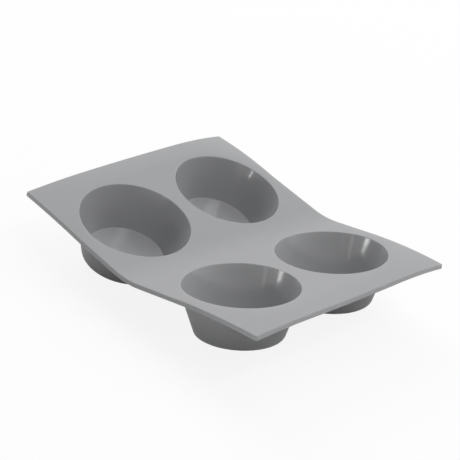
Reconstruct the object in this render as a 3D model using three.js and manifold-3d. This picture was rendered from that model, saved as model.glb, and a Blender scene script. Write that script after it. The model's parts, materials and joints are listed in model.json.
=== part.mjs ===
// Silicone muffin mould: a thin sheet with two rows of tapered cups, bent up across its middle.
// The moulding is one soft piece, so it is split here where it bends: two sheet halves, the strip that
// flexes between them, and for each cup its wall and the floor that is pushed up to free the muffin.
// Millimetres, +Z up. The origin lies on the table, under the middle of the fold.
import * as THREE from "three";
import { mergeVertices } from "three/addons/utils/BufferGeometryUtils.js";
import Module from "manifold-3d";

// Cup sizes
const CUP_MOUTH_RADIUS = 35;
const CUP_FLOOR_RADIUS = 25.6;
const CUP_DEPTH = 28;
const CUP_WALL = 1.8;
const CUP_FLOOR_THICKNESS = 2.4;
const CUP_FLOOR_RECESS = 0.4; // the floor's underside lies this far inside the ring the cup stands on
const CUP_BASE_RADIUS = 2.5; // rounding where the wall meets the floor outside
const CUP_ROOT_FILLET = 2; // fillet between the wall and the sheet's underside
const CUP_ROOT_EDGE = 0.6; // edge thickness of that fillet
const MOUTH_LIP = 0.8; // rounding of the sheet's edge round a mouth

// Sheet sizes, measured on the flat sheet
const SHEET_THICKNESS = 3;
const CUP_GAP = 10.5; // between the mouths of one row
const ROW_GAP = 23; // between the mouths of the two rows
const SIDE_MARGIN = 8.75; // from a mouth to the sheet's side
const END_MARGIN = 17.75; // from a mouth to the sheet's front or back edge
const SHEET_CORNER_RADIUS = 2;
const BEND_BORDER = 4.5; // flat sheet left between a mouth and the strip that bends

// The set that the sheet has taken
const FOLD_ANGLE = THREE.MathUtils.degToRad(21.5);
const DROOP_POWER = 1.4; // how a corner curls down: 1 is straight, 2 a parabola
const HALVES = [
  { name: "front", side: -1, droopLeft: 2, droopRight: 4.4 },
  { name: "back", side: 1, droopLeft: 4.5, droopRight: 5.6 },
];
const COLUMNS = [
  { name: "left", side: -1 },
  { name: "right", side: 1 },
];

// Room between regions of the moulding that are separate solids here
const CLEARANCE = 0.3;

// Fineness of the curved faces
const ROUND_STEPS = 48;
const FILLET_STEPS = 3;
const BEND_STEPS = 8;
const SHEET_STEPS_X = 20;
const SHEET_STEPS_Y = 10;

const SILICONE_GREY = 0xa6a7a9;
const CUP_GREY = 0x9a9b9d;

// Sizes that follow from the ones above
const cupPitch = 2 * CUP_MOUTH_RADIUS + CUP_GAP;
const rowPitch = 2 * CUP_MOUTH_RADIUS + ROW_GAP;
const sheetWidth = cupPitch + 2 * (CUP_MOUTH_RADIUS + SIDE_MARGIN);
const sheetLength = rowPitch + 2 * (CUP_MOUTH_RADIUS + END_MARGIN);
const bendHalf = ROW_GAP / 2 - BEND_BORDER;
const draft = Math.atan2(CUP_MOUTH_RADIUS - CUP_FLOOR_RADIUS, CUP_DEPTH);
const cupBottom = -(CUP_DEPTH + CUP_FLOOR_THICKNESS);
const rootTop = -(SHEET_THICKNESS + CLEARANCE);
const rootFillet = {
  z: rootTop - CUP_ROOT_EDGE - CUP_ROOT_FILLET,
  get r() {
    return outerRadius(this.z) + CUP_ROOT_FILLET / Math.cos(draft);
  },
};
const baseFillet = {
  z: cupBottom + CUP_BASE_RADIUS,
  get r() {
    return outerRadius(this.z) - CUP_BASE_RADIUS / Math.cos(draft);
  },
};

const wasm = await Module();
wasm.setup();

/** Radius of a cup's inner face at height z, where the sheet's top face is at 0. */
function innerRadius(z) {
  return CUP_MOUTH_RADIUS + z * Math.tan(draft);
}

/** Radius of a cup's outer face at height z. */
function outerRadius(z) {
  return innerRadius(z) + CUP_WALL / Math.cos(draft);
}

/** Points along a circular arc in a profile, both ends included. */
function arc(r, z, radius, from, to) {
  return Array.from({ length: FILLET_STEPS + 1 }, (_, i) => {
    const a = THREE.MathUtils.lerp(from, to, i / FILLET_STEPS);
    return new THREE.Vector2(r + radius * Math.cos(a), z + radius * Math.sin(a));
  });
}

/** Turns a profile of (radius, height) points about the Z axis. */
function revolve(profile) {
  return new THREE.LatheGeometry(profile, ROUND_STEPS).rotateX(Math.PI / 2);
}

/** A closed geometry as a solid that can be cut and joined. */
function toSolid(geometry) {
  geometry.deleteAttribute("normal");
  geometry.deleteAttribute("uv");
  const merged = mergeVertices(geometry);
  return new wasm.Manifold(
    new wasm.Mesh({
      numProp: 3,
      vertProperties: merged.getAttribute("position").array,
      triVerts: new Uint32Array(merged.index.array),
    }),
  );
}

/** A solid as a geometry that a mesh can carry. */
function toGeometry(solid) {
  const { vertProperties, triVerts } = solid.getMesh();
  const geometry = new THREE.BufferGeometry();
  geometry.setAttribute("position", new THREE.BufferAttribute(vertProperties, 3));
  geometry.setIndex(new THREE.BufferAttribute(triVerts, 1));
  geometry.computeVertexNormals();
  return geometry;
}

/** How far the sheet hangs below its flat plane at (x, y): nothing round the cups, most at the corners. */
function droop(x, y, half) {
  const stiff = rootFillet.r;
  const beyond = (dx, dy) => Math.max(0, Math.hypot(Math.max(0, dx), Math.max(0, dy)) - stiff);
  const reach = beyond(Math.abs(x) - cupPitch / 2, Math.abs(y) - rowPitch / 2);
  const corner = beyond(sheetWidth / 2 - cupPitch / 2, sheetLength / 2 - rowPitch / 2);
  const fade = THREE.MathUtils.clamp((Math.abs(y) - bendHalf) / (rowPitch / 2 - bendHalf), 0, 1);
  const most = THREE.MathUtils.lerp(half.droopLeft, half.droopRight, x / sheetWidth + 0.5);
  return most * fade * (reach / corner) ** DROOP_POWER;
}

/** Outline of the whole flat sheet, as a prism deep enough to trim a drooping half. */
function sheetOutline() {
  const [w, l, r] = [sheetWidth / 2, sheetLength / 2, SHEET_CORNER_RADIUS];
  const shape = new THREE.Shape();
  shape.absarc(w - r, l - r, r, 0, Math.PI / 2);
  shape.absarc(-w + r, l - r, r, Math.PI / 2, Math.PI);
  shape.absarc(-w + r, -l + r, r, Math.PI, 1.5 * Math.PI);
  shape.absarc(w - r, -l + r, r, 1.5 * Math.PI, 2 * Math.PI);
  const depth = 2 * CUP_DEPTH;
  return new THREE.ExtrudeGeometry(shape, { depth, bevelEnabled: false, curveSegments: FILLET_STEPS })
    .translate(0, 0, -CUP_DEPTH);
}

/** The space of one cup mouth through the sheet, with the rounded lip at the top. */
function mouthSpace(column, half) {
  const lipCentre = innerRadius(-MOUTH_LIP) + MOUTH_LIP / Math.cos(draft);
  const under = -2 * SHEET_THICKNESS;
  const profile = [
    new THREE.Vector2(0, under),
    new THREE.Vector2(innerRadius(under), under),
    ...arc(lipCentre, -MOUTH_LIP, MOUTH_LIP, Math.PI - draft, Math.PI / 2),
    new THREE.Vector2(lipCentre, SHEET_THICKNESS),
    new THREE.Vector2(0, SHEET_THICKNESS),
  ];
  return revolve(profile).translate(column.side * cupPitch / 2, half.side * rowPitch / 2, 0);
}

/** One half of the sheet, from the bend to its free edge. */
function sheetHalf(half) {
  const length = sheetLength / 2 - bendHalf;
  const plate = new THREE.BoxGeometry(
    sheetWidth, length, SHEET_THICKNESS, SHEET_STEPS_X, SHEET_STEPS_Y, 1,
  ).translate(0, half.side * (bendHalf + length / 2), -SHEET_THICKNESS / 2);
  const points = plate.getAttribute("position");
  for (let i = 0; i < points.count; i += 1) {
    points.setZ(i, points.getZ(i) - droop(points.getX(i), points.getY(i), half));
  }
  const trimmed = toSolid(plate).intersect(toSolid(sheetOutline()));
  const pierced = COLUMNS.reduce(
    (solid, column) => solid.subtract(toSolid(mouthSpace(column, half))),
    trimmed,
  );
  return toGeometry(pierced);
}

/** The strip between the rows, bent to an arc that runs into both halves. Centred on the fold line. */
function flexBand() {
  const radius = bendHalf / Math.tan(FOLD_ANGLE / 2);
  const centre = radius / Math.cos(FOLD_ANGLE / 2);
  const spread = FOLD_ANGLE / 2 - CLEARANCE / radius;
  const [from, to] = [-Math.PI / 2 - spread, -Math.PI / 2 + spread];
  const shape = new THREE.Shape();
  shape.absarc(0, centre, radius + SHEET_THICKNESS / 2, from, to, false);
  shape.absarc(0, centre, radius - SHEET_THICKNESS / 2, to, from, true);
  const [x, y, z] = [[1, 0, 0], [0, 1, 0], [0, 0, 1]].map((axis) => new THREE.Vector3(...axis));
  return new THREE.ExtrudeGeometry(shape, {
    depth: sheetWidth, bevelEnabled: false, curveSegments: BEND_STEPS,
  }).applyMatrix4(new THREE.Matrix4().makeBasis(y, z, x)).translate(-sheetWidth / 2, 0, 0);
}

/** A cup's tapered wall, hung under the sheet: root fillet at the top, rounded ring at the bottom. */
function cupWall() {
  const bottomInner = new THREE.Vector2(innerRadius(cupBottom), cupBottom);
  const profile = [
    bottomInner,
    ...arc(baseFillet.r, baseFillet.z, CUP_BASE_RADIUS, -Math.PI / 2, -draft),
    ...arc(rootFillet.r, rootFillet.z, CUP_ROOT_FILLET, Math.PI - draft, Math.PI / 2),
    new THREE.Vector2(rootFillet.r, rootTop),
    new THREE.Vector2(innerRadius(rootTop), rootTop),
    bottomInner.clone(),
  ];
  return revolve(profile);
}

/** A cup's floor: a thin disc with the wall's taper, a clearance inside it. */
function cupFloor() {
  const underside = cupBottom + CUP_FLOOR_RECESS;
  const gap = CLEARANCE / Math.cos(draft);
  return revolve([
    new THREE.Vector2(0, underside),
    new THREE.Vector2(innerRadius(underside) - gap, underside),
    new THREE.Vector2(innerRadius(-CUP_DEPTH) - gap, -CUP_DEPTH),
    new THREE.Vector2(0, -CUP_DEPTH),
  ]);
}

/** A named mesh in matt silicone of the given grey. */
function piece(name, geometry, color) {
  const material = new THREE.MeshStandardMaterial({ color, roughness: 0.45, metalness: 0 });
  const mesh = new THREE.Mesh(geometry, material);
  mesh.name = name;
  return mesh;
}

/** One half of the mould on its flat plane: the sheet half and its two cups. */
function mouldHalf(half) {
  const flat = new THREE.Group();
  flat.add(piece(`sheet_${half.name}`, sheetHalf(half), SILICONE_GREY));
  for (const column of COLUMNS) {
    const cup = new THREE.Group();
    cup.position.set(column.side * cupPitch / 2, half.side * rowPitch / 2, 0);
    cup.add(piece(`cup_wall_${half.name}_${column.name}`, cupWall(), CUP_GREY));
    cup.add(piece(`cup_floor_${half.name}_${column.name}`, cupFloor(), CUP_GREY));
    flat.add(cup);
  }
  return flat;
}

/** Height of the fold line when the cups' inner bottom edges stand on the table. */
function foldHeight() {
  const towardsFold = rowPitch / 2 - baseFillet.r;
  const below = baseFillet.z + SHEET_THICKNESS / 2;
  const tilt = FOLD_ANGLE / 2;
  return CUP_BASE_RADIUS - towardsFold * Math.sin(tilt) - below * Math.cos(tilt);
}

const mould = new THREE.Group();
const fold = new THREE.Group();
fold.position.z = foldHeight();
fold.add(piece("flex_band", flexBand(), SILICONE_GREY));
for (const half of HALVES) {
  const tilted = new THREE.Group();
  tilted.rotation.x = half.side * FOLD_ANGLE / 2;
  const flat = mouldHalf(half);
  flat.position.z = SHEET_THICKNESS / 2;
  tilted.add(flat);
  fold.add(tilted);
}
mould.add(fold);

export default mould;
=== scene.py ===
"""Silicone muffin mould, dressed for its picture.

The mould is one soft moulding: a grey sheet with two rows of tapered cups, bent up across its middle.
The sheet is a single skin that flexes between its two halves, and each cup is a single skin that gives
way when its floor is pushed up. Metres, +Z up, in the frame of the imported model.
"""
import json
import logging
import math
from dataclasses import dataclass
from enum import Enum

import bmesh
import bpy
from mathutils import Matrix, Vector


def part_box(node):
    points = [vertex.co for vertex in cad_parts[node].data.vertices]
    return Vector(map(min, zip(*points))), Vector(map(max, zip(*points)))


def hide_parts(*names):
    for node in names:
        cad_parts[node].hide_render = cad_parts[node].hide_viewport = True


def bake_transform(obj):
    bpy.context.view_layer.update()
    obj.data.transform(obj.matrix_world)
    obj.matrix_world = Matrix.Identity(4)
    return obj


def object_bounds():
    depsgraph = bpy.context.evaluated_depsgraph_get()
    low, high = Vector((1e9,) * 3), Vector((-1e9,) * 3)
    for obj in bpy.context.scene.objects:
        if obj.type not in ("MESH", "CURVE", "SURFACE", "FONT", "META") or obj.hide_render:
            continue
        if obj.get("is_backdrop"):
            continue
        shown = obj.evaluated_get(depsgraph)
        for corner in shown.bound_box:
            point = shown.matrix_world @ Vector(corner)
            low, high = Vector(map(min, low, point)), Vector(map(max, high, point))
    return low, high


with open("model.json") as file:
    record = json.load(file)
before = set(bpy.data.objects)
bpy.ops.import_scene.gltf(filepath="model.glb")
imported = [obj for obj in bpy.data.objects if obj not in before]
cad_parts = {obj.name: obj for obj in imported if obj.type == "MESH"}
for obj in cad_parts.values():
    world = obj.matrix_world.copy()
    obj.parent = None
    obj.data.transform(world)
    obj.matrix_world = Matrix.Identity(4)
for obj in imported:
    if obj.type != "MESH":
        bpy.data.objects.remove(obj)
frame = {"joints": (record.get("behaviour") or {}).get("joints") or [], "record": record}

LOG = logging.getLogger("muffin_mould")

MM = 0.001
MERGE = 1e-3 * MM  # points closer than this are the same point
CREASE = math.radians(40)  # edges that turn further than this are shaded as corners
RUB_LAYER = "edge_rub"  # how much a point is rubbed by handling, from 0 to 1
SPECKS_LOW, SPECKS_HIGH = 0.12, 0.40  # usual range of the product of two noises


def direction(azimuth: float, elevation: float) -> Vector:
    """A direction, as a lamp or a line of sight is set.

    Args:
        azimuth: degrees from +Y towards +X.
        elevation: degrees above the table.

    Returns:
        A vector of length 1.
    """
    turn, rise = math.radians(azimuth), math.radians(elevation)
    return Vector((math.sin(turn) * math.cos(rise), math.cos(turn) * math.cos(rise), math.sin(rise)))


class Row(Enum):
    """A row of cups, by the side of the fold that it lies on."""

    FRONT = -1
    BACK = 1


class Column(Enum):
    """A column of cups, by the side of the mould that it lies on."""

    LEFT = -1
    RIGHT = 1


@dataclass(frozen=True)
class MouldPlan:
    """The flat sheet, and where the frame puts its fold and its cups."""

    pivot: Vector  # a point of the fold line, half way through the sheet
    lean: float  # how far each half leans up from the fold, in radians
    cup_pitch: float  # between the cups of a row
    row_pitch: float  # between the rows
    width: float
    length: float = 198.5 * MM
    thickness: float = 3.0 * MM
    corner_radius: float = 1.0 * MM
    edge_radius: float = 0.5 * MM
    bend_half: float = 11.0 * MM  # from the fold line to where a half is flat

    @classmethod
    def from_frame(cls) -> "MouldPlan":
        """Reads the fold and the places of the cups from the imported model.

        Returns:
            The plan.
        """
        joints = {joint["name"]: joint for joint in frame["joints"]}
        stand = next(m for m in frame["record"]["mounts"] if m["name"] == "stand_back_right")
        pivot = Vector(joints["sheet_fold"]["pos_m"])
        normal = Vector(joints["push_up_back_right"]["axis"])
        lean = math.atan2(-normal.y, normal.z)
        along = Vector((0, math.cos(lean), math.sin(lean)))
        foot = Vector(stand["pos_m"])
        low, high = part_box("flex_band")
        return cls(
            pivot=pivot,
            lean=lean,
            cup_pitch=2 * foot.x,
            row_pitch=2 * (foot - pivot).dot(along),
            width=high.x - low.x,
        )

    def cup_centre(self, row: Row, column: Column) -> Vector:
        """The middle of a cup's mouth on the flat sheet."""
        return Vector((column.value * self.cup_pitch / 2, row.value * self.row_pitch / 2, 0))


@dataclass(frozen=True)
class CupSection:
    """Half section of a cup. Heights count from the sheet's top face."""

    mouth_radius: float = 35.0 * MM
    floor_radius: float = 25.6 * MM
    depth: float = 28.0 * MM
    wall: float = 1.8 * MM
    floor_thickness: float = 2.4 * MM
    lip: float = 0.4 * MM  # rounding of the rim
    root_fillet: float = 2.0 * MM  # outside, under the sheet
    base_radius: float = 2.5 * MM  # outside, where the wall meets the floor
    corner_radius: float = 0.6 * MM  # inside, where the wall meets the floor
    foot_width: float = 2.0 * MM  # the ring that the cup stands on
    foot_recess: float = 0.4 * MM  # how far the floor lies inside that ring

    @property
    def draft(self) -> float:
        """Lean of the wall from upright, in radians."""
        return math.atan2(self.mouth_radius - self.floor_radius, self.depth)

    @property
    def bottom(self) -> float:
        """Height of the ring that the cup stands on."""
        return -(self.depth + self.floor_thickness)

    def inner_radius(self, height: float) -> float:
        """Radius of the inner face at a height."""
        return self.mouth_radius + height * math.tan(self.draft)

    def outer_radius(self, height: float) -> float:
        """Radius of the outer face at a height."""
        return self.inner_radius(height) + self.wall / math.cos(self.draft)

    def tangent(self, radius: float) -> float:
        """Length that a rounding takes from each side of a corner between wall and floor."""
        return radius * math.tan((math.pi / 2 - self.draft) / 2)


@dataclass(frozen=True)
class SoftBend:
    """The set that the soft sheet has taken: a fold between the rows, a slight warp, hanging corners."""

    plan: MouldPlan
    stiff_radius: float = 38.0 * MM  # round a cup's axis no corner hangs down
    askew: float = math.radians(-3.0)  # the soft fold runs this far off the line of the rows
    power: float = 1.4  # how a corner curls down: 1 is straight, 2 a parabola
    droop_front: tuple[float, float] = (2.9 * MM, 4.3 * MM)  # left and right corner
    droop_back: tuple[float, float] = (2.1 * MM, 4.8 * MM)  # the same two at the back
    twist: float = 0.92 * MM  # lifts the back right and front left corners, and lowers the others
    arch_front: float = 1.42 * MM  # how far the sides of the front half stand above its middle
    arch_back: float = -1.65 * MM  # the same of the back half, whose sides lie lower

    def warp(self, x: float, y: float) -> float:
        """How far a half is twisted and arched out of its plane.

        Args:
            x: place on the flat sheet, from left to right.
            y: place on the flat sheet, from the front to the back.

        Returns:
            The height above the plane.
        """
        plan = self.plan
        across, along = 2 * x / plan.width, 2 * y / plan.length
        arch = self.arch_back if y > 0 else self.arch_front
        fade = min(abs(y) / (plan.row_pitch / 2), 1)
        return self.twist * across * along + arch * fade * across**2

    def side_slope(self, x: float, y: float) -> float:
        """How steeply the warped sheet climbs to the right where its cup hangs square to it.

        Args:
            x: place on the flat sheet, from left to right.
            y: place on the flat sheet, from the front to the back.

        Returns:
            The slope in the back right quarter. It is 0 elsewhere, because those cups hang square to
            the plane of their half.
        """
        if min(x, y) <= 0:
            return 0.0
        step = self.plan.thickness
        return (self.warp(x + step, y) - self.warp(x - step, y)) / (2 * step)

    def droop(self, x: float, y: float) -> float:
        """How far the corner of a half hangs down.

        Args:
            x: place on the flat sheet, from left to right.
            y: place on the flat sheet, from the front to the back.

        Returns:
            The depth below the plane: nothing round the cups, most at the corner.
        """
        plan = self.plan
        reach = self._beyond(abs(x) - plan.cup_pitch / 2, abs(y) - plan.row_pitch / 2)
        corner = self._beyond((plan.width - plan.cup_pitch) / 2, (plan.length - plan.row_pitch) / 2)
        fade = (abs(y) - plan.bend_half) / (plan.row_pitch / 2 - plan.bend_half)
        left, right = self.droop_back if y > 0 else self.droop_front
        most = left + (right - left) * (x / plan.width + 0.5)
        return most * min(max(fade, 0), 1) * (reach / corner) ** self.power

    def _beyond(self, dx: float, dy: float) -> float:
        """Distance of a point from the stiff round of a cup, counted outwards only."""
        return max(0.0, math.hypot(max(0, dx), max(0, dy)) - self.stiff_radius)

    def place(self, flat: Vector) -> Vector:
        """Carries a point of the flat mould to where it lies on the bent one.

        Args:
            flat: the point, with its height counted from the sheet's top face.

        Returns:
            The point in the frame.
        """
        plan = self.plan
        height = flat.z + self.warp(flat.x, flat.y) - self.droop(flat.x, flat.y) + plan.thickness / 2
        sideways = flat.x - flat.z * self.side_slope(flat.x, flat.y)
        along, across, _ = Matrix.Rotation(-self.askew, 3, "Z") @ Vector((sideways, flat.y, 0))
        bent = min(max(across, -plan.bend_half), plan.bend_half)
        turn = bent / plan.bend_half * plan.lean
        radius = plan.bend_half / math.tan(plan.lean)
        up = radius / math.cos(plan.lean) - (radius - height) * math.cos(turn)
        over = (radius - height) * math.sin(turn)
        straight = across - bent
        folded = Vector((along, over + straight * math.cos(turn), up + straight * math.sin(turn)))
        return plan.pivot + Matrix.Rotation(self.askew, 3, "Z") @ folded


@dataclass(frozen=True)
class Silicone:
    """A grey silicone: colour, gloss and the fine unevenness of a moulded face."""

    name: str
    roughness: float
    shine: float  # how strongly the face mirrors, where 0.5 is the plain value
    colour: tuple[float, float, float] = (0.398, 0.401, 0.409)
    refraction: float = 1.42  # index of the rubber
    coat: float = 0.0  # weight of the sharper sheen that a polished mould leaves
    coat_roughness: float = 0.14
    coat_refraction: float = 1.6  # index of that sheen
    clouding: float = 0.035  # how much the grey drifts, as a share
    rub_lighter: float = 0.05  # how much lighter a rubbed edge is, as a share
    unevenness: float = 0.05  # how far the roughness drifts to either side
    cloud: float = 40 * MM  # size of the slow drifts
    cloud_layers: float = 4.0  # how many finer drifts lie over them
    grain: float = 0.35 * MM  # size of the finest unevenness
    grain_layers: float = 2.0  # the same for the grain
    relief: float = 0.004 * MM  # height of the grain

    def material(self) -> bpy.types.Material:
        """The finish as a node material on Object coordinates, made once and shared by the pieces."""
        return bpy.data.materials.get(self.name) or self._mix()

    def _mix(self) -> bpy.types.Material:
        """Makes the node material.

        Returns:
            The new material.
        """
        material = bpy.data.materials.new(self.name)
        material.use_nodes = True
        tree = material.node_tree
        shader = tree.nodes["Principled BSDF"]
        shader.inputs["IOR"].default_value = self.refraction
        shader.inputs["Specular IOR Level"].default_value = self.shine
        shader.inputs["Coat Weight"].default_value = self.coat
        shader.inputs["Coat Roughness"].default_value = self.coat_roughness
        shader.inputs["Coat IOR"].default_value = self.coat_refraction
        place = tree.nodes.new("ShaderNodeTexCoord").outputs["Object"]
        clouds = self._noise(tree, place, self.cloud, self.cloud_layers)
        grain = self._noise(tree, place, self.grain, self.grain_layers)
        self._colour(tree, shader, clouds)
        self._gloss(tree, shader, clouds, grain)
        self._relief(tree, shader, grain)
        return material

    def _noise(
        self, tree: bpy.types.NodeTree, place: bpy.types.NodeSocket, size: float, layers: float
    ) -> bpy.types.NodeSocket:
        """Adds a noise.

        Args:
            tree: the material's nodes.
            place: the coordinates that the noise follows.
            size: size of its largest spots.
            layers: how many finer layers it has.

        Returns:
            The socket with its value.
        """
        noise = tree.nodes.new("ShaderNodeTexNoise")
        noise.inputs["Scale"].default_value = 1 / size
        noise.inputs["Detail"].default_value = layers
        tree.links.new(place, noise.inputs["Vector"])
        return noise.outputs["Fac"]

    def _colour(
        self, tree: bpy.types.NodeTree, shader: bpy.types.Node, clouds: bpy.types.NodeSocket
    ) -> None:
        """Drifts the grey slowly over the piece and lightens its rubbed edges.

        Args:
            tree: the material's nodes.
            shader: the node that takes the colour.
            clouds: the slow noise.
        """
        drift = tree.nodes.new("ShaderNodeMix")
        drift.data_type = "RGBA"
        drift.inputs["A"].default_value = self._shade(1 - self.clouding)
        drift.inputs["B"].default_value = self._shade(1 + self.clouding)
        tree.links.new(clouds, drift.inputs["Factor"])
        rub = tree.nodes.new("ShaderNodeAttribute")
        rub.attribute_name = RUB_LAYER
        edge = tree.nodes.new("ShaderNodeMix")
        edge.data_type = "RGBA"
        edge.inputs["B"].default_value = self._shade(1 + self.rub_lighter)
        tree.links.new(rub.outputs["Fac"], edge.inputs["Factor"])
        tree.links.new(drift.outputs["Result"], edge.inputs["A"])
        tree.links.new(edge.outputs["Result"], shader.inputs["Base Color"])

    def _shade(self, share: float) -> tuple[float, float, float, float]:
        """The grey times a share, as a colour socket takes it."""
        red, green, blue = (channel * share for channel in self.colour)
        return red, green, blue, 1.0

    def _gloss(
        self, tree: bpy.types.NodeTree, shader: bpy.types.Node,
        clouds: bpy.types.NodeSocket, grain: bpy.types.NodeSocket,
    ) -> None:
        """Varies the roughness in slow patches and fine specks.

        Args:
            tree: the material's nodes.
            shader: the node that takes the roughness.
            clouds: the slow noise.
            grain: the fine noise.
        """
        specks = tree.nodes.new("ShaderNodeMath")
        specks.operation = "MULTIPLY"
        tree.links.new(clouds, specks.inputs[0])
        tree.links.new(grain, specks.inputs[1])
        spread = tree.nodes.new("ShaderNodeMapRange")
        spread.inputs["From Min"].default_value = SPECKS_LOW
        spread.inputs["From Max"].default_value = SPECKS_HIGH
        spread.inputs["To Min"].default_value = self.roughness - self.unevenness
        spread.inputs["To Max"].default_value = self.roughness + self.unevenness
        tree.links.new(specks.outputs["Value"], spread.inputs["Value"])
        tree.links.new(spread.outputs["Result"], shader.inputs["Roughness"])

    def _relief(
        self, tree: bpy.types.NodeTree, shader: bpy.types.Node, grain: bpy.types.NodeSocket
    ) -> None:
        """Gives the face the faint grain of the mould that it was cast in.

        Args:
            tree: the material's nodes.
            shader: the node that takes the normal.
            grain: the fine noise.
        """
        bump = tree.nodes.new("ShaderNodeBump")
        bump.inputs["Distance"].default_value = self.relief
        tree.links.new(grain, bump.inputs["Height"])
        tree.links.new(bump.outputs["Normal"], shader.inputs["Normal"])


class Finish(Enum):
    """The finishes of the moulding, by the face of the steel mould that each was cast against."""

    TOP = Silicone("satin_top_silicone", roughness=0.40, shine=0.5)
    INSIDE = Silicone("polished_inside_silicone", roughness=0.45, shine=0.3, coat=1.0, relief=0.001 * MM)
    OUTSIDE = Silicone("matt_outside_silicone", roughness=0.62, shine=0.25)


@dataclass
class Moulding:
    """What the sheet and the cups share: their sizes, and putting a mesh into the scene."""

    plan: MouldPlan
    section: CupSection
    bend: SoftBend

    def to_object(self, mesh: bmesh.types.BMesh, name: str) -> bpy.types.Object:
        """Turns a finished bmesh into a smooth-shaded piece of the mould.

        Args:
            mesh: the closed mesh, in the frame, its faces numbered by finish. It is freed.
            name: the piece's name.

        Returns:
            The new object, at the origin.
        """
        for face in mesh.faces:
            face.smooth = True
        for edge in mesh.edges:
            edge.smooth = edge.calc_face_angle(0) < CREASE
        data = bpy.data.meshes.new(name)
        mesh.to_mesh(data)
        mesh.free()
        for finish in Finish:
            data.materials.append(finish.value.material())
        piece = bpy.data.objects.new(name, data)
        bpy.context.scene.collection.objects.link(piece)
        return piece

    def dress(self, face: bmesh.types.BMFace, finish: Finish) -> None:
        """Gives a face its finish."""
        face.material_index = list(Finish).index(finish)


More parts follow.
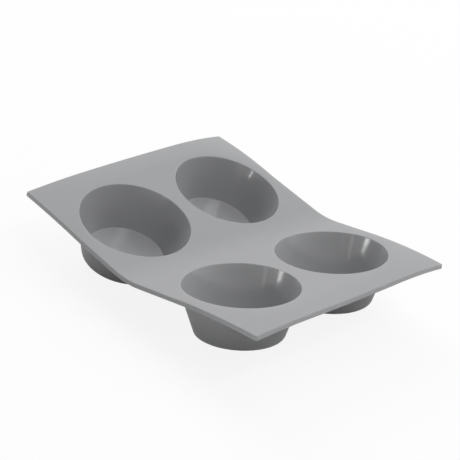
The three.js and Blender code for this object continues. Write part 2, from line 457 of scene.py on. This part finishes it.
@dataclass
class MouldSheet(Moulding):
    """The sheet with its four mouths, one skin from its front edge to its back edge."""

    segments: int = 192  # round a mouth
    rings: int = 20  # from a mouth to the edge of its quarter of the sheet
    mouth_rings: int = 4  # down the wall of a mouth
    round_steps: int = 4  # faces across a rounding
    rub_reach: float = 0.9 * MM  # how far handling rubs in from an edge

    def build(self) -> bpy.types.Object:
        """Makes the sheet and bends it across the fold.

        Returns:
            The new piece.
        """
        mesh = bmesh.new()
        self._lay_quarter(mesh)
        for axis in "XY":
            geometry = mesh.verts[:] + mesh.edges[:] + mesh.faces[:]
            bmesh.ops.mirror(mesh, geom=geometry, axis=axis, merge_dist=MERGE)
        self._thicken(mesh)
        self._round_edges(mesh)
        self._rub_edges(mesh)
        for face in mesh.faces:
            self.dress(face, self._finish_of(face))
        for vert in mesh.verts:
            vert.co = self.bend.place(vert.co)
        piece = self.to_object(mesh, "mould_sheet")
        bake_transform(piece)
        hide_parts("sheet_front", "sheet_back", "flex_band")
        return piece

    def _fold_side(self, row: Row) -> Vector:
        """Where the flexing ends on one side of the fold: at the mouths of that row."""
        clear = self.plan.row_pitch / 2 - self.section.mouth_radius - self.section.lip
        return self.plan.pivot + Vector((0, row.value * clear * math.cos(self.plan.lean), 0))

    def _lay_quarter(self, mesh: bmesh.types.BMesh) -> None:
        """Lays out the back right quarter of the top face, round its cup's mouth.

        Args:
            mesh: the empty mesh to start in.
        """
        mouth = bmesh.ops.create_circle(mesh, segments=self.segments, radius=self.section.mouth_radius)
        grown = bmesh.ops.extrude_edge_only(mesh, edges=mesh.edges[:])["geom"]
        border = [item for item in grown if isinstance(item, bmesh.types.BMVert)]
        for vert in border:
            vert.co = self._border_point(math.atan2(vert.co.y, vert.co.x))
        centre = self.plan.cup_centre(Row.BACK, Column.RIGHT)
        bmesh.ops.translate(mesh, verts=mouth["verts"], vec=centre)
        spokes = [edge for edge in mesh.edges if sum(vert in border for vert in edge.verts) == 1]
        bmesh.ops.subdivide_edges(mesh, edges=spokes, cuts=self.rings, use_grid_fill=True)

    def _border_point(self, angle: float) -> Vector:
        """The point of a quarter's border that belongs to a direction from its mouth.

        Args:
            angle: the direction, anticlockwise from +X.

        Returns:
            The point, spaced evenly along its side, with the corners on directions of 45 degrees.
        """
        right, back = self.plan.width / 2, self.plan.length / 2
        corners = [Vector(xyz) for xyz in ((right, 0, 0), (right, back, 0), (0, back, 0), (0, 0, 0))]
        turns = angle / (math.pi / 2)
        side = round(turns)
        start, end = corners[side % len(corners)], corners[(side + 1) % len(corners)]
        return start.lerp(end, turns - side + 0.5)

    def _thicken(self, mesh: bmesh.types.BMesh) -> None:
        """Gives the sheet its thickness, and its mouths the taper of the cups.

        Args:
            mesh: the flat top face.
        """
        bmesh.ops.recalc_face_normals(mesh, faces=mesh.faces[:])
        grown = bmesh.ops.extrude_face_region(mesh, geom=mesh.faces[:], use_keep_orig=True)["geom"]
        under = [item for item in grown if isinstance(item, bmesh.types.BMVert)]
        bmesh.ops.translate(mesh, verts=under, vec=(0, 0, -self.plan.thickness))
        for row in Row:
            for column in Column:
                self._taper_mouth(mesh, under, self.plan.cup_centre(row, column))
        uprights = [edge for edge in mesh.edges if self._is_in_mouth(edge)]
        bmesh.ops.subdivide_edges(mesh, edges=uprights, cuts=self.mouth_rings, use_grid_fill=True)
        bmesh.ops.recalc_face_normals(mesh, faces=mesh.faces[:])

    def _taper_mouth(
        self, mesh: bmesh.types.BMesh, under: list[bmesh.types.BMVert], centre: Vector
    ) -> None:
        """Draws in the lower rim of a mouth, so that its wall runs on into the cup's.

        Args:
            mesh: the thick sheet.
            under: the points of its lower face.
            centre: the middle of the mouth.
        """
        mouth = self.section.mouth_radius
        rim = [vert for vert in under if abs((vert.co.xy - centre.xy).length - mouth) < MERGE]
        tapered = self.section.inner_radius(-self.plan.thickness) / mouth
        space = Matrix.Translation(-centre)
        bmesh.ops.scale(mesh, verts=rim, vec=(tapered, tapered, 1), space=space)

    def _round_edges(self, mesh: bmesh.types.BMesh) -> None:
        """Rounds the four corners, the lips of the mouths and the edges of the sheet.

        Args:
            mesh: the thick sheet, still flat.
        """
        uprights = [edge for edge in mesh.edges if all(self._at_corner(vert) for vert in edge.verts)]
        self._bevel(mesh, uprights, self.plan.corner_radius)
        sharp = [edge for edge in mesh.edges if edge.calc_face_angle(0) > CREASE]
        lips = [edge for edge in sharp if self._is_lip(edge)]
        outside = [edge for edge in sharp if self._is_outside(edge)]
        self._bevel(mesh, lips, self.section.tangent(self.section.lip))
        self._bevel(mesh, outside, self.plan.edge_radius)

    def _bevel(self, mesh: bmesh.types.BMesh, edges: list[bmesh.types.BMEdge], width: float) -> None:
        """Rounds edges.

        Args:
            mesh: the thick sheet.
            edges: the edges to round.
            width: how far the rounding reaches to either side.
        """
        bmesh.ops.bevel(
            mesh, geom=edges, offset=width, offset_type="OFFSET", segments=self.round_steps,
            profile=0.5, affect="EDGES", material=-1, loop_slide=True,
        )

    def _rub_edges(self, mesh: bmesh.types.BMesh) -> None:
        """Marks how much handling has rubbed each point: most on the lips and along the outline.

        Args:
            mesh: the finished sheet, still flat.
        """
        rub = mesh.verts.layers.float.new(RUB_LAYER)
        for vert in mesh.verts:
            nearest = min(self._inset(vert.co), self._mouth_distance(vert.co))
            vert[rub] = math.exp(-nearest / self.rub_reach)

    def _finish_of(self, face: bmesh.types.BMFace) -> Finish:
        """The finish of a face of the flat sheet.

        Args:
            face: the face.

        Returns:
            Matt underneath, polished in the mouths and satin elsewhere.
        """
        if face.normal.z < -math.cos(CREASE):
            return Finish.OUTSIDE
        in_mouth = self._mouth_radius_at(face.calc_center_median()) < self.section.mouth_radius
        return Finish.INSIDE if in_mouth else Finish.TOP

    def _mouth_radius_at(self, point: Vector) -> float:
        """Distance of a point from the axis of the nearest mouth."""
        centre = self.plan.cup_centre(Row.BACK, Column.RIGHT)
        return math.hypot(abs(point.x) - centre.x, abs(point.y) - centre.y)

    def _mouth_distance(self, point: Vector) -> float:
        """Distance of a point from the upright through the nearest mouth's edge."""
        return abs(self._mouth_radius_at(point) - self.section.mouth_radius)

    def _inset(self, point: Vector) -> float:
        """Distance of a point from the nearest side of the sheet."""
        return min(self.plan.width / 2 - abs(point.x), self.plan.length / 2 - abs(point.y))

    def _at_corner(self, vert: bmesh.types.BMVert) -> bool:
        """Whether a point lies at one of the sheet's four corners."""
        right, back = self.plan.width / 2, self.plan.length / 2
        return right - abs(vert.co.x) < MERGE and back - abs(vert.co.y) < MERGE

    def _is_in_mouth(self, edge: bmesh.types.BMEdge) -> bool:
        """Whether an edge of the thick sheet runs down the wall of a mouth."""
        near = self._mouth_distance(self._middle(edge)) < self.plan.thickness
        return near and self._rise(edge) > MERGE

    def _is_lip(self, edge: bmesh.types.BMEdge) -> bool:
        """Whether an edge lies on the top rim of a mouth."""
        middle = self._middle(edge)
        return abs(middle.z) < MERGE and self._mouth_distance(middle) < self.section.lip

    def _is_outside(self, edge: bmesh.types.BMEdge) -> bool:
        """Whether an edge lies on the top or bottom outline of the sheet."""
        near = self._inset(self._middle(edge)) < self.plan.corner_radius
        return near and self._rise(edge) < MERGE

    def _middle(self, edge: bmesh.types.BMEdge) -> Vector:
        """The middle of an edge."""
        return (edge.verts[0].co + edge.verts[1].co) / 2

    def _rise(self, edge: bmesh.types.BMEdge) -> float:
        """How much higher one end of an edge lies than the other."""
        return abs(edge.verts[0].co.z - edge.verts[1].co.z)


@dataclass
class MuffinCup(Moulding):
    """One cup under the sheet: wall, floor and foot in one skin."""

    row: Row
    column: Column
    steps: int = 192  # round the axis
    round_steps: int = 5  # stretches across a rounding
    ring_spacing: float = 1.0 * MM  # longest stretch of the section between two rings
    give: float = 1.5 * MM  # the wall starts to give way this far below the rim

    @property
    def place_name(self) -> str:
        """The cup's place, as the frame's nodes and bodies spell it."""
        return f"{self.row.name}_{self.column.name}".lower()

    def build(self) -> bpy.types.Object:
        """Turns the cup from its section and hangs it under the sheet.

        Returns:
            The new piece.
        """
        mesh = bmesh.new()
        self._draw_section(mesh)
        bmesh.ops.spin(
            mesh, geom=mesh.verts[:] + mesh.edges[:], axis=(0, 0, 1), cent=(0, 0, 0),
            angle=2 * math.pi, steps=self.steps, use_merge=True,
        )
        bmesh.ops.remove_doubles(mesh, verts=mesh.verts[:], dist=MERGE)
        bmesh.ops.dissolve_degenerate(mesh, edges=mesh.edges[:], dist=MERGE)
        bmesh.ops.recalc_face_normals(mesh, faces=mesh.faces[:])
        self._rub_foot(mesh)
        for face in mesh.faces:
            self.dress(face, self._finish_of(face))
        centre = self.plan.cup_centre(self.row, self.column)
        for vert in mesh.verts:
            vert.co = self.bend.place(centre + vert.co)
        piece = self.to_object(mesh, f"cup_{self.place_name}")
        self.bend.place(centre - Vector((0, 0, self.give)))
        self.bend.place(centre + Vector((0, 0, self.section.bottom)))
        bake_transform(piece)
        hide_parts(f"cup_wall_{self.place_name}", f"cup_floor_{self.place_name}")
        return piece

    def _draw_section(self, mesh: bmesh.types.BMesh) -> None:
        """Draws the half section, from the middle of the floor out, over and under to the axis.

        Args:
            mesh: the empty mesh to draw in.
        """
        outline = self._outline()
        verts = [mesh.verts.new((radius, 0, height)) for radius, height, _ in outline]
        for pair in zip(verts, verts[1:]):
            mesh.edges.new(pair)
        for vert, (_, _, rounding) in zip(verts, outline):
            if rounding:
                bmesh.ops.bevel(
                    mesh, geom=[vert], offset=self.section.tangent(rounding), offset_type="OFFSET",
                    segments=self.round_steps, profile=0.5, affect="VERTICES", material=-1,
                )
        for edge in mesh.edges[:]:
            cuts = math.floor(edge.calc_length() / self.ring_spacing)
            if cuts:
                bmesh.ops.subdivide_edges(mesh, edges=[edge], cuts=cuts)

    def _outline(self) -> list[tuple[float, float, float]]:
        """The corners of the half section.

        Returns:
            The radius, the height and the rounding of each corner.
        """
        cut, under = self.section, -self.plan.thickness
        root = cut.outer_radius(under) + cut.tangent(cut.root_fillet)
        foot = cut.outer_radius(cut.bottom) - cut.tangent(cut.base_radius) - cut.foot_width
        hollow = cut.bottom + cut.foot_recess
        return [
            (0, -cut.depth, 0),
            (cut.floor_radius, -cut.depth, cut.corner_radius),
            (cut.inner_radius(under), under, 0),
            (root, under, 0),
            (cut.outer_radius(under), under, cut.root_fillet),
            (cut.outer_radius(cut.bottom), cut.bottom, cut.base_radius),
            (foot, cut.bottom, 0),
            (foot - cut.foot_recess, hollow, 0),
            (0, hollow, 0),
        ]

    def _rub_foot(self, mesh: bmesh.types.BMesh) -> None:
        """Marks the foot, which is rubbed by the shelf that it stands on.

        Args:
            mesh: the upright cup, with its mouth at the origin.
        """
        rub = mesh.verts.layers.float.new(RUB_LAYER)
        for vert in mesh.verts:
            above = vert.co.z - self.section.bottom
            vert[rub] = math.exp(-above / self.section.base_radius)

    def _finish_of(self, face: bmesh.types.BMFace) -> Finish:
        """The finish of a face of the upright cup.

        Args:
            face: the face.

        Returns:
            Polished on the inner side of the middle of the wall, and matt on the outer side.
        """
        middle, cut = face.calc_center_median(), self.section
        in_wall = middle.xy.length < cut.inner_radius(middle.z) + cut.wall / 2
        over_floor = middle.z > -cut.depth - cut.floor_thickness / 2
        return Finish.INSIDE if in_wall and over_floor else Finish.OUTSIDE


@dataclass(frozen=True)
class Softbox:
    """An area lamp that faces the mould."""

    name: str
    azimuth: float  # degrees from +Y towards +X
    elevation: float  # degrees above the table
    size: tuple[float, float]
    level: float  # light on a face turned to the lamp, where 1 shows a colour as it is written
    mirrored: bool = False  # whether a polished face mirrors the lamp, or only the white room
    distance: float = 4.0

    def hang(self, target: Vector) -> None:
        """Puts the lamp in its place.

        Args:
            target: the point of the mould that it is turned to.
        """
        data = bpy.data.lights.new(self.name, "AREA")
        data.shape = "RECTANGLE"
        data.size, data.size_y = self.size
        data.energy = self.level * (math.pi * self.distance) ** 2
        lamp = bpy.data.objects.new(self.name, data)
        lamp.visible_camera = False
        lamp.visible_glossy = self.mirrored
        away = direction(self.azimuth, self.elevation)
        lamp.location = target + away * self.distance
        lamp.rotation_euler = away.to_track_quat("Z", "Y").to_euler()
        bpy.context.scene.collection.objects.link(lamp)


@dataclass(frozen=True)
class Studio:
    """A pale floor, soft lamps and the camera."""

    floor_height: float
    floor_radius: float = 6.0
    floor_segments: int = 64
    floor_white: float = 1.0  # what the floor shows in full light
    floor_shadow: float = 0.12  # the share of it that a full shadow takes away
    floor_bounce: float = 0.90  # the share of its light that the floor throws up at the mould
    painted_shadow_bounce: float = 0.15  # painted shadow: the bounce share under the mould, darkened to stand in for the shade that falls there
    painted_shadow_reach: tuple[float, float] = (90 * MM, 170 * MM)  # between these distances the painted shadow fades out
    ambient: float = 0.035  # light that the room sends from all sides
    softboxes: tuple[Softbox, ...] = (
        Softbox("overhead_softbox", 90, 70, (3.0, 3.0), 0.30),
        Softbox("back_right_softbox", 22, 38, (2.6, 2.6), 0.47),
        Softbox("right_softbox", 124, 28, (2.6, 2.6), 0.30),
        Softbox("camera_softbox", 228, 6, (1.8, 0.7), 0.05),
        Softbox("back_left_softbox", 318, 13, (1.8, 1.6), 0.055),
        Softbox("front_key", 193, 60, (1.5, 0.42), 0.17, mirrored=True),
        Softbox("back_left_strip", -51, 4, (0.75, 0.56), 0.075, mirrored=True),
        Softbox("left_strip", -91, 5.5, (0.20, 0.22), 0.013, mirrored=True),
        Softbox("left_panel", -84, 12, (0.30, 0.50), 0.004, mirrored=True),
        Softbox("back_glow", 46, 33, (0.8, 0.8), 0.012, mirrored=True),
    )
    view_azimuth: float = 50.43  # degrees from +Y towards +X, along the line of sight
    view_elevation: float = 28.17  # degrees that the line of sight dips
    view_roll: float = 10.56  # degrees that the camera is turned about it, anticlockwise
    view_distance: float = 0.9255  # from the camera to the point that it is aimed at
    view_aim: tuple[float, float, float] = (16.95 * MM, 17.80 * MM, 24.36 * MM)
    lens: float = 114.78  # millimetres, on a sensor 36 mm wide

    @property
    def floor_light(self) -> float:
        """Light on the open floor, where 1 shows a colour as it is written."""
        falling = (box.level * math.sin(math.radians(box.elevation)) for box in self.softboxes)
        return self.ambient + sum(falling)

    def set_up(self) -> None:
        """Makes the floor, the light and the camera."""
        self._lay_floor()
        self._light()
        self._aim_camera()
        bpy.context.scene.view_settings.view_transform = "Standard"

    def _lay_floor(self) -> None:
        """Lays the pale floor under the feet."""
        mesh = bmesh.new()
        bmesh.ops.create_circle(
            mesh, cap_ends=True, segments=self.floor_segments, radius=self.floor_radius
        )
        bmesh.ops.translate(mesh, verts=mesh.verts[:], vec=(0, 0, self.floor_height))
        data = bpy.data.meshes.new("studio_floor")
        mesh.to_mesh(data)
        mesh.free()
        data.materials.append(self._floor_paper())
        floor = bpy.data.objects.new("studio_floor", data)
        bpy.context.scene.collection.objects.link(floor)
        floor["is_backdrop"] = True

    def _floor_paper(self) -> bpy.types.Material:
        """The floor's paper: white with a soft shadow to the eye, and a painted shadow under the mould
        in the light that it sends up.

        Returns:
            The new material.
        """
        material = bpy.data.materials.new("white_paper")
        material.use_nodes = True
        tree = material.node_tree
        tree.nodes.clear()
        output = tree.nodes.new("ShaderNodeOutputMaterial")
        shaded = tree.nodes.new("ShaderNodeBsdfDiffuse")
        grey = self.floor_white * self.floor_shadow / self.floor_light
        shaded.inputs["Color"].default_value = (grey, grey, grey, 1)
        glow = tree.nodes.new("ShaderNodeEmission")
        glow.inputs["Strength"].default_value = self.floor_white * (1 - self.floor_shadow)
        shown = tree.nodes.new("ShaderNodeAddShader")
        tree.links.new(shaded.outputs["BSDF"], shown.inputs[0])
        tree.links.new(glow.outputs["Emission"], shown.inputs[1])
        choice = tree.nodes.new("ShaderNodeMixShader")
        tree.links.new(self._seen(tree), choice.inputs["Fac"])
        tree.links.new(self._bounce(tree), choice.inputs[1])
        tree.links.new(shown.outputs["Shader"], choice.inputs[2])
        tree.links.new(choice.outputs["Shader"], output.inputs["Surface"])
        return material

    def _bounce(self, tree: bpy.types.NodeTree) -> bpy.types.NodeSocket:
        """Adds the matt grey that lights the mould from below, with a painted shadow: darker close to
        the mould.

        Args:
            tree: the floor's nodes.

        Returns:
            The socket of its shader.
        """
        place = tree.nodes.new("ShaderNodeTexCoord")
        distance = tree.nodes.new("ShaderNodeVectorMath")
        distance.operation = "LENGTH"
        tree.links.new(place.outputs["Object"], distance.inputs[0])
        # painted shadow: the bounce grey darkens towards the mould to stand in for the shade under it
        grey = tree.nodes.new("ShaderNodeMapRange")
        grey.inputs["From Min"].default_value, grey.inputs["From Max"].default_value = self.painted_shadow_reach
        grey.inputs["To Min"].default_value = self.painted_shadow_bounce
        grey.inputs["To Max"].default_value = self.floor_bounce
        tree.links.new(distance.outputs["Value"], grey.inputs["Value"])
        shader = tree.nodes.new("ShaderNodeBsdfDiffuse")
        tree.links.new(grey.outputs["Result"], shader.inputs["Color"])
        return shader.outputs["BSDF"]

    def _seen(self, tree: bpy.types.NodeTree) -> bpy.types.NodeSocket:
        """Tells what is looked at, straight, mirrored or through glass, from what only gives light.

        Args:
            tree: the nodes to add to.

        Returns:
            A socket that is 1 for what is looked at.
        """
        path = tree.nodes.new("ShaderNodeLightPath")
        seen = path.outputs["Is Camera Ray"]
        for kind in ("Is Glossy Ray", "Is Transmission Ray"):
            either = tree.nodes.new("ShaderNodeMath")
            either.operation = "MAXIMUM"
            tree.links.new(seen, either.inputs[0])
            tree.links.new(path.outputs[kind], either.inputs[1])
            seen = either.outputs["Value"]
        return seen

    def _light(self) -> None:
        """Hangs the lamps, and sets the room's light and the white that shows behind the floor."""
        world = bpy.data.worlds.new("studio_room")
        world.use_nodes = True
        tree = world.node_tree
        room = tree.nodes["Background"]
        room.inputs["Color"].default_value = (1, 1, 1, 1)
        strength = tree.nodes.new("ShaderNodeMix")
        strength.inputs["A"].default_value = self.ambient
        strength.inputs["B"].default_value = self.floor_white
        tree.links.new(self._seen(tree), strength.inputs["Factor"])
        tree.links.new(strength.outputs["Result"], room.inputs["Strength"])
        bpy.context.scene.world = world
        for softbox in self.softboxes:
            softbox.hang(Vector(self.view_aim))

    def _aim_camera(self) -> None:
        """Stands the camera at the photograph's viewing angle."""
        sight = direction(self.view_azimuth, -self.view_elevation)
        upright = sight.to_track_quat("-Z", "Y").to_matrix().to_4x4()
        data = bpy.data.cameras.new("camera")
        data.lens = self.lens
        camera = bpy.data.objects.new("camera", data)
        place = Matrix.Translation(Vector(self.view_aim) - sight * self.view_distance)
        camera.matrix_world = place @ upright @ Matrix.Rotation(math.radians(self.view_roll), 4, "Z")
        bpy.context.scene.collection.objects.link(camera)
        bpy.context.scene.camera = camera


def main() -> None:
    """Builds the mould and its studio, and reports each piece."""
    logging.basicConfig(level=logging.INFO, format="%(name)s %(message)s")
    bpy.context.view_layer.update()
    plan, section = MouldPlan.from_frame(), CupSection()
    bend = SoftBend(plan)
    pieces = [MouldSheet(plan, section, bend).build()]
    for row in Row:
        for column in Column:
            pieces.append(MuffinCup(plan, section, bend, row, column).build())
    for piece in pieces:
        LOG.info("%s: %d faces", piece.name, len(piece.data.polygons))
    lowest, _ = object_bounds()
    Studio(floor_height=lowest.z).set_up()


if __name__ == "__main__":
    main()
